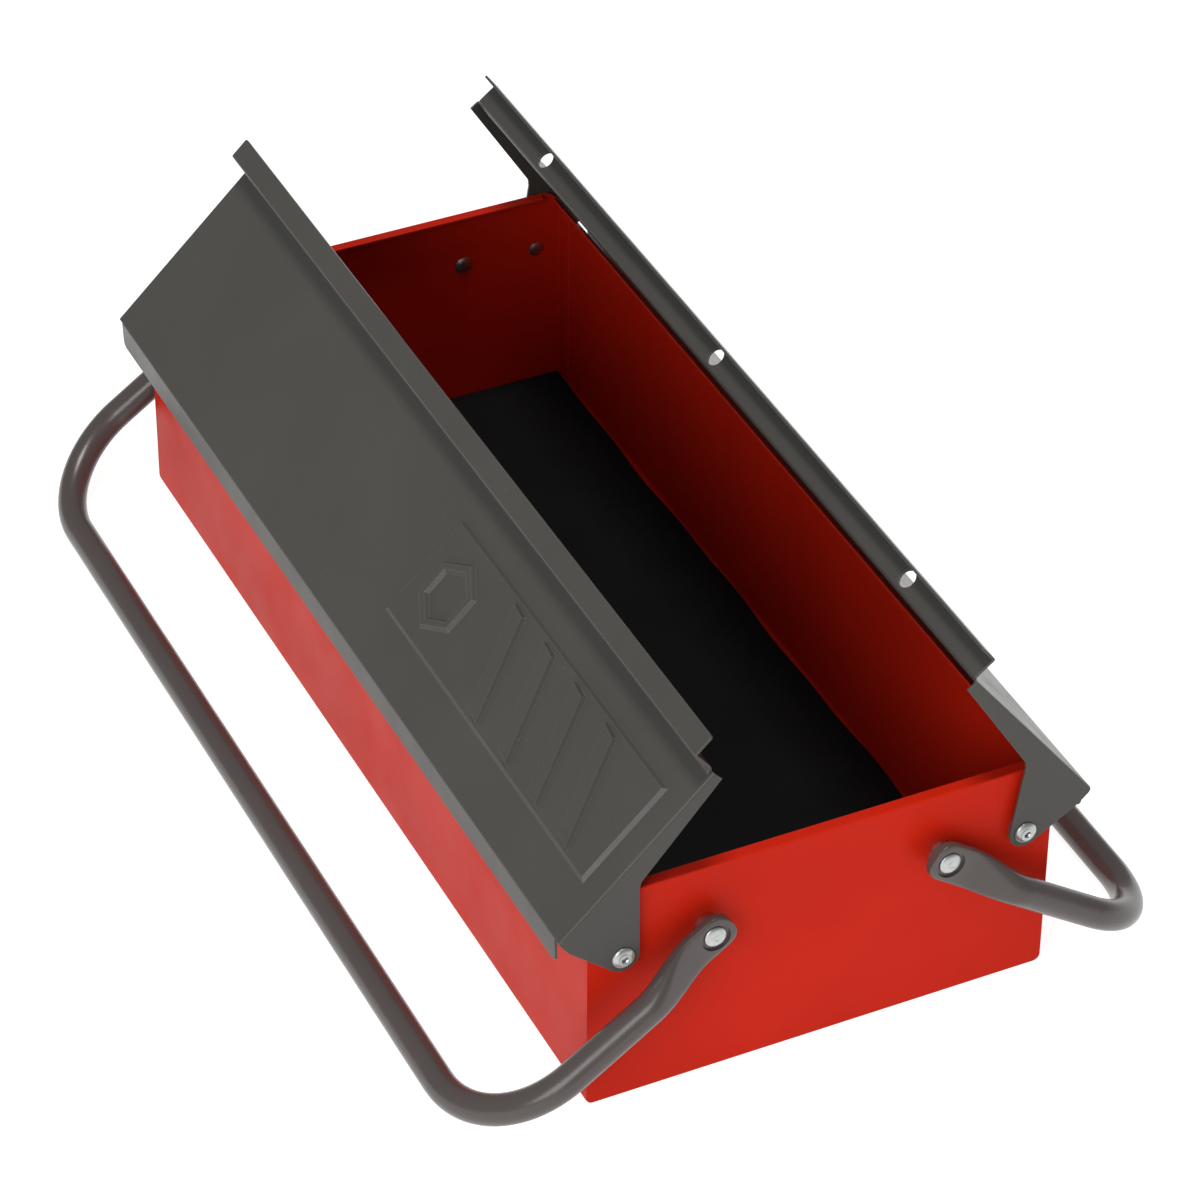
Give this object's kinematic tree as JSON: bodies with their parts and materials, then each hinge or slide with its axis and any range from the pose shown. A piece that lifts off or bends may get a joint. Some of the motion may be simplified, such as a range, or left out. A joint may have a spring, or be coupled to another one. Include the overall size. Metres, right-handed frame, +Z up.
{
  "type": "two-lid metal toolbox",
  "caption": "Open-topped steel tote toolbox with two hinged lids standing open and two bent-tube carrying handles that fold down at either side.",
  "frame": {"origin": "middle of the flat underside of the tub, on the surface that it stands on", "axes": "+X along the box towards its near end, +Y across it towards the lid without the embossed frame, +Z up"},
  "size_m": [0.502, 0.3168, 0.1736],
  "materials": {
    "red_enamel": "satin stoved enamel on sheet steel",
    "grey_enamel": "satin stoved enamel on sheet steel",
    "grey_tube": "satin enamel on bent steel tube",
    "zinc": "dull zinc-plated steel",
    "mat_rubber": "matt rubber with a fine grain"
  },
  "bodies": {
    "tub": {"tub_shell": "red_enamel", "end_panel_near": "red_enamel", "end_panel_far": "red_enamel", "floor_mat": "mat_rubber", "lid_rivet_left_near": "zinc", "lid_rivet_left_far": "zinc", "lid_rivet_right_near": "zinc", "lid_rivet_right_far": "zinc", "lid_washer_left_near": "zinc", "lid_washer_left_far": "zinc", "lid_washer_right_near": "zinc", "lid_washer_right_far": "zinc", "handle_rivet_left_near": "zinc", "handle_rivet_left_far": "zinc", "handle_rivet_right_near": "zinc", "handle_rivet_right_far": "zinc", "handle_spacer_left_near": "zinc", "handle_spacer_left_far": "zinc", "handle_spacer_right_near": "zinc", "handle_spacer_right_far": "zinc"},
    "lid_left": {"lid_left": "grey_enamel"},
    "lid_right": {"lid_right": "grey_enamel"},
    "handle_left": {"handle_left": "grey_tube"},
    "handle_right": {"handle_right": "grey_tube"}
  },
  "joints": [
    {"name": "lid_left_hinge", "type": "hinge", "parent": "tub", "child": "lid_left", "pos_m": [0, -0.0884, 0.075], "axis": [1, 0, 0], "range_deg": [-43.9, 62]},
    {"name": "lid_right_hinge", "type": "hinge", "parent": "tub", "child": "lid_right", "pos_m": [0, 0.0884, 0.075], "axis": [-1, 0, 0], "range_deg": [-52.4, 53.5]},
    {"name": "handle_left_hinge", "type": "hinge", "parent": "tub", "child": "handle_left", "pos_m": [0, -0.0515, 0.0761], "axis": [-1, 0, 0], "range_deg": [0, 146]},
    {"name": "handle_right_hinge", "type": "hinge", "parent": "tub", "child": "handle_right", "pos_m": [0, 0.0515, 0.0761], "axis": [1, 0, 0], "range_deg": [0, 146]}
  ]
}
